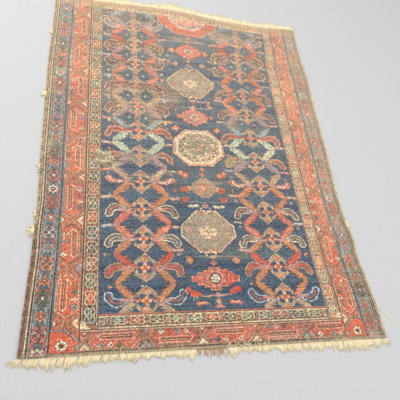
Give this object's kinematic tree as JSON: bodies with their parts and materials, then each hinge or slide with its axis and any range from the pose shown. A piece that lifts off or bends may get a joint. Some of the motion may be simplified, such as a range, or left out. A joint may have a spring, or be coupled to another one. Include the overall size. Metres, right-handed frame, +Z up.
{
  "type": "runner rug",
  "caption": "Worn hand-knotted wool rug with a blue field of medallions and leaf columns, red borders and short cream fringes, lying flat.",
  "frame": {"origin": "on the floor, under the middle of the rug with its fringes", "axes": "+X across the rug to the right as seen from the near end, +Y along the rug from the near end to the far end, +Z up"},
  "size_m": [1.3535, 1.7332, 0.0066],
  "materials": {
    "ground_weave": "plain-woven undyed cotton, dulled with age",
    "field_wool": "low worn wool pile, indigo blue with lighter and browner streaks",
    "grey_wool": "low worn wool pile, grey beige",
    "cream_wool": "low worn wool pile, cream",
    "red_wool": "low worn wool pile, madder red and pink",
    "orange_wool": "low worn wool pile, orange red",
    "border_wool": "low worn wool pile, madder red with cream and dark lines",
    "faded_border_wool": "bleached wool pile, pale orange",
    "guard_wool": "low worn wool pile, cream scrolls on brown, red and blue green",
    "outer_guard_wool": "low worn wool pile, rosettes on blue grey",
    "faded_wool": "bleached wool pile, tan and cream",
    "overcast_wool": "brown wool yarn wound over the edge, frayed to cream in places",
    "cotton_fringe": "twisted cotton warp ends, cream",
    "brown_fringe": "sparse warp ends stained pinkish brown",
    "loose_thread": "loose twisted cream thread"
  },
  "bodies": {
    "root": {"end_stripe_near": "faded_wool", "far_border": "faded_border_wool", "far_guard": "faded_wool", "field_pile": "field_wool", "fringe_far_01": "cotton_fringe", "fringe_far_02": "cotton_fringe", "fringe_far_03": "cotton_fringe", "fringe_far_04": "cotton_fringe", "fringe_far_05": "cotton_fringe", "fringe_far_06": "cotton_fringe", "fringe_far_07": "cotton_fringe", "fringe_far_08": "cotton_fringe", "fringe_far_09": "cotton_fringe", "fringe_far_10": "cotton_fringe", "fringe_far_11": "cotton_fringe", "fringe_far_12": "cotton_fringe", "fringe_near_01": "cotton_fringe", "fringe_near_02": "cotton_fringe", "fringe_near_03": "cotton_fringe", "fringe_near_04": "cotton_fringe", "fringe_near_05": "brown_fringe", "fringe_near_06": "cotton_fringe", "fringe_near_07": "cotton_fringe", "fringe_near_08": "cotton_fringe", "fringe_near_09": "cotton_fringe", "fringe_near_10": "cotton_fringe", "fringe_near_11": "cotton_fringe", "fringe_near_12": "cotton_fringe", "ground_weave": "ground_weave", "half_medallion_far": "orange_wool", "inner_guard_left": "guard_wool", "inner_guard_near": "guard_wool", "inner_guard_right": "guard_wool", "loose_thread": "loose_thread", "main_border_left": "border_wool", "main_border_near": "border_wool", "main_border_right": "border_wool", "medallion_far": "grey_wool", "medallion_middle": "cream_wool", "medallion_near": "grey_wool", "outer_guard_left": "outer_guard_wool", "outer_guard_right": "outer_guard_wool", "palmette_middle": "red_wool", "palmette_near": "red_wool", "rosette_far": "red_wool", "rosette_middle": "red_wool", "selvedge_band_left": "cream_wool", "selvedge_band_right": "cream_wool", "selvedge_cord_left": "ground_weave", "selvedge_cord_right": "ground_weave", "selvedge_overcast_left": "overcast_wool", "selvedge_overcast_right": "overcast_wool"}
  },
  "joints": []
}
